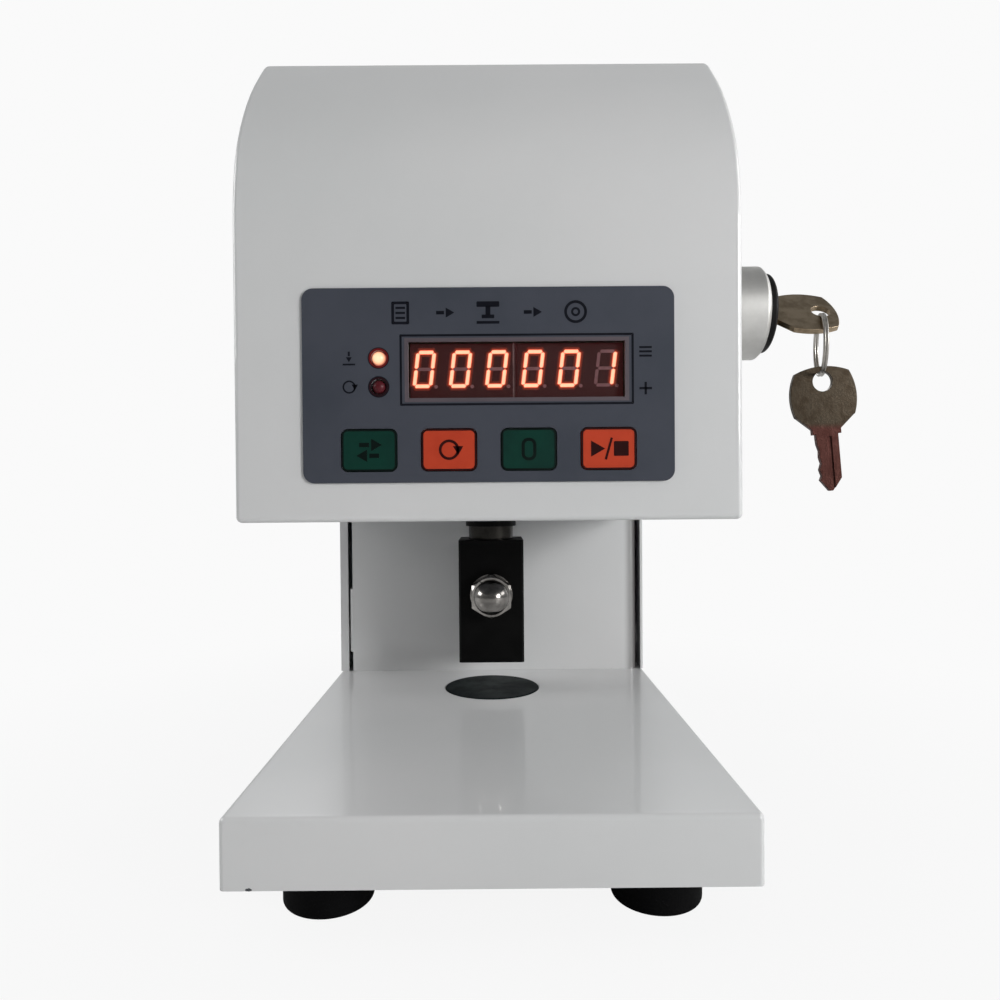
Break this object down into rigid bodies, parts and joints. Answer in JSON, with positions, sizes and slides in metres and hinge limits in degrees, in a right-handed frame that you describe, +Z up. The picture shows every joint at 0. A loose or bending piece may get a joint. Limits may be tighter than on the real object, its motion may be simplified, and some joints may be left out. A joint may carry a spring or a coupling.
{
  "type": "electric paper embosser",
  "caption": "Desktop electric seal press: painted head with display and press keys, key switch, cam-driven ram with die holder, column and base tray with a round die pad.",
  "frame": {"origin": "on the table, straight below the ram axis", "axes": "+Z up, +X to the right of the control panel, -Y towards the person at the machine"},
  "size_m": [0.2373, 0.304, 0.334],
  "materials": {
    "painted_sheet": "gloss paint",
    "plate_steel": "ground steel",
    "steel": "zinc plated",
    "ram_chrome": "polished",
    "black_block": "black oxide",
    "pad_green": "satin",
    "foot_rubber": "matt",
    "bronze": "turned",
    "black_plastic": "moulded",
    "overlay_film": "satin film",
    "window_tint": "tinted clear",
    "display_black": "moulded",
    "led_lit": "lit lamp",
    "led_dark": "unlit lamp",
    "key_green": "printed film",
    "key_orange": "printed film",
    "board_green": "solder mask",
    "bezel_satin": "satin turned",
    "contact_red": "moulded",
    "key_nickel": "worn nickel"
  },
  "bodies": {
    "housing": {"base_cover": "painted_sheet", "base_plate": "plate_steel", "rubber_feet": "foot_rubber", "foot_screws": "steel", "frame_screws": "steel", "anvil_block": "plate_steel", "anvil_pad": "pad_green", "left_frame_plate": "plate_steel", "right_frame_plate": "plate_steel", "tie_rods": "steel", "ram_guide_block": "plate_steel", "guide_screws": "steel", "guide_bush": "black_block", "head_floor": "painted_sheet", "head_cover": "painted_sheet", "cover_screws": "steel", "column_front_panel": "painted_sheet", "column_left_side": "painted_sheet", "column_right_side": "painted_sheet", "rear_cover": "painted_sheet", "power_inlet": "black_plastic", "power_supply": "steel", "return_spring": "steel", "shaft_bushes": "bronze", "home_sensor": "black_plastic", "gearbox": "plate_steel", "motor": "steel", "control_overlay": "overlay_film", "display_window": "window_tint", "display_modules": "display_black", "manual_led": "led_lit", "auto_led": "led_dark", "control_board": "board_green", "board_parts": "steel", "lock_bezel": "bezel_satin", "lock_face": "black_plastic", "lock_body": "steel", "contact_block": "contact_red"},
    "cam_drive": {"press_cam": "steel", "cam_shaft": "steel", "cam_gear": "steel", "home_disc": "steel", "retaining_rings": "steel"},
    "pinion": {"drive_pinion": "steel"},
    "ram": {"ram_shaft": "ram_chrome", "spring_collar": "steel", "roller_pin": "steel", "die_holder": "black_block", "clamp_stud": "steel", "clamp_washer": "steel", "acorn_nut": "ram_chrome"},
    "roller": {"follower_roller": "steel"},
    "mode_button": {"mode_key": "key_green"},
    "reset_button": {"reset_key": "key_orange"},
    "clear_button": {"clear_key": "key_green"},
    "start_button": {"start_key": "key_orange"},
    "plug": {"lock_plug": "steel"},
    "key_in_switch": {"switch_key": "key_nickel"},
    "ring": {"key_ring": "ram_chrome"},
    "hanging_key": {"spare_key": "key_nickel"}
  },
  "joints": [
    {"name": "cam_turn", "type": "hinge", "parent": "housing", "child": "cam_drive", "pos_m": [0, 0, 0.2483], "axis": [1, 0, 0], "range_deg": [0, 180]},
    {"name": "pinion_turn", "type": "hinge", "parent": "housing", "child": "pinion", "pos_m": [0, 0.056, 0.2483], "axis": [1, 0, 0], "range_deg": [-540, 0]},
    {"name": "ram_slide", "type": "slide", "parent": "housing", "child": "ram", "axis": [0, 0, 1], "range_m": [-0.012, 0], "stiffness_N_per_m": 300, "springref_m": 0.012, "deforming": ["return_spring"]},
    {"name": "roller_spin", "type": "hinge", "parent": "ram", "child": "roller", "pos_m": [0, 0, 0.221], "axis": [1, 0, 0], "continuous": true},
    {"name": "mode_press", "type": "slide", "parent": "housing", "child": "mode_button", "axis": [0, 1, 0], "range_m": [0, 0.0004], "stiffness_N_per_m": 300},
    {"name": "reset_press", "type": "slide", "parent": "housing", "child": "reset_button", "axis": [0, 1, 0], "range_m": [0, 0.0004], "stiffness_N_per_m": 300},
    {"name": "clear_press", "type": "slide", "parent": "housing", "child": "clear_button", "axis": [0, 1, 0], "range_m": [0, 0.0004], "stiffness_N_per_m": 300},
    {"name": "start_press", "type": "slide", "parent": "housing", "child": "start_button", "axis": [0, 1, 0], "range_m": [0, 0.0004], "stiffness_N_per_m": 300},
    {"name": "lock_turn", "type": "hinge", "parent": "housing", "child": "plug", "pos_m": [0.09, -0.108, 0.2188], "axis": [1, 0, 0], "range_deg": [0, 36]},
    {"name": "key_pull", "type": "slide", "parent": "plug", "child": "key_in_switch", "axis": [1, 0, 0], "range_m": [0, 0.03]},
    {"name": "ring_swing", "type": "hinge", "parent": "key_in_switch", "child": "ring", "pos_m": [0.1329, -0.108, 0.2188], "axis": [1, 0, 0], "range_deg": [-60, 0]},
    {"name": "spare_swing", "type": "hinge", "parent": "ring", "child": "hanging_key", "pos_m": [0.1333, -0.108, 0.1942], "axis": [0, 1, 0], "range_deg": [-20, 20]}
  ],
  "couplings": [
    {"joint": "ram_slide", "follows": "cam_turn", "m_per_rad": -0.0038197},
    {"joint": "pinion_turn", "follows": "cam_turn", "ratio": -3}
  ]
}
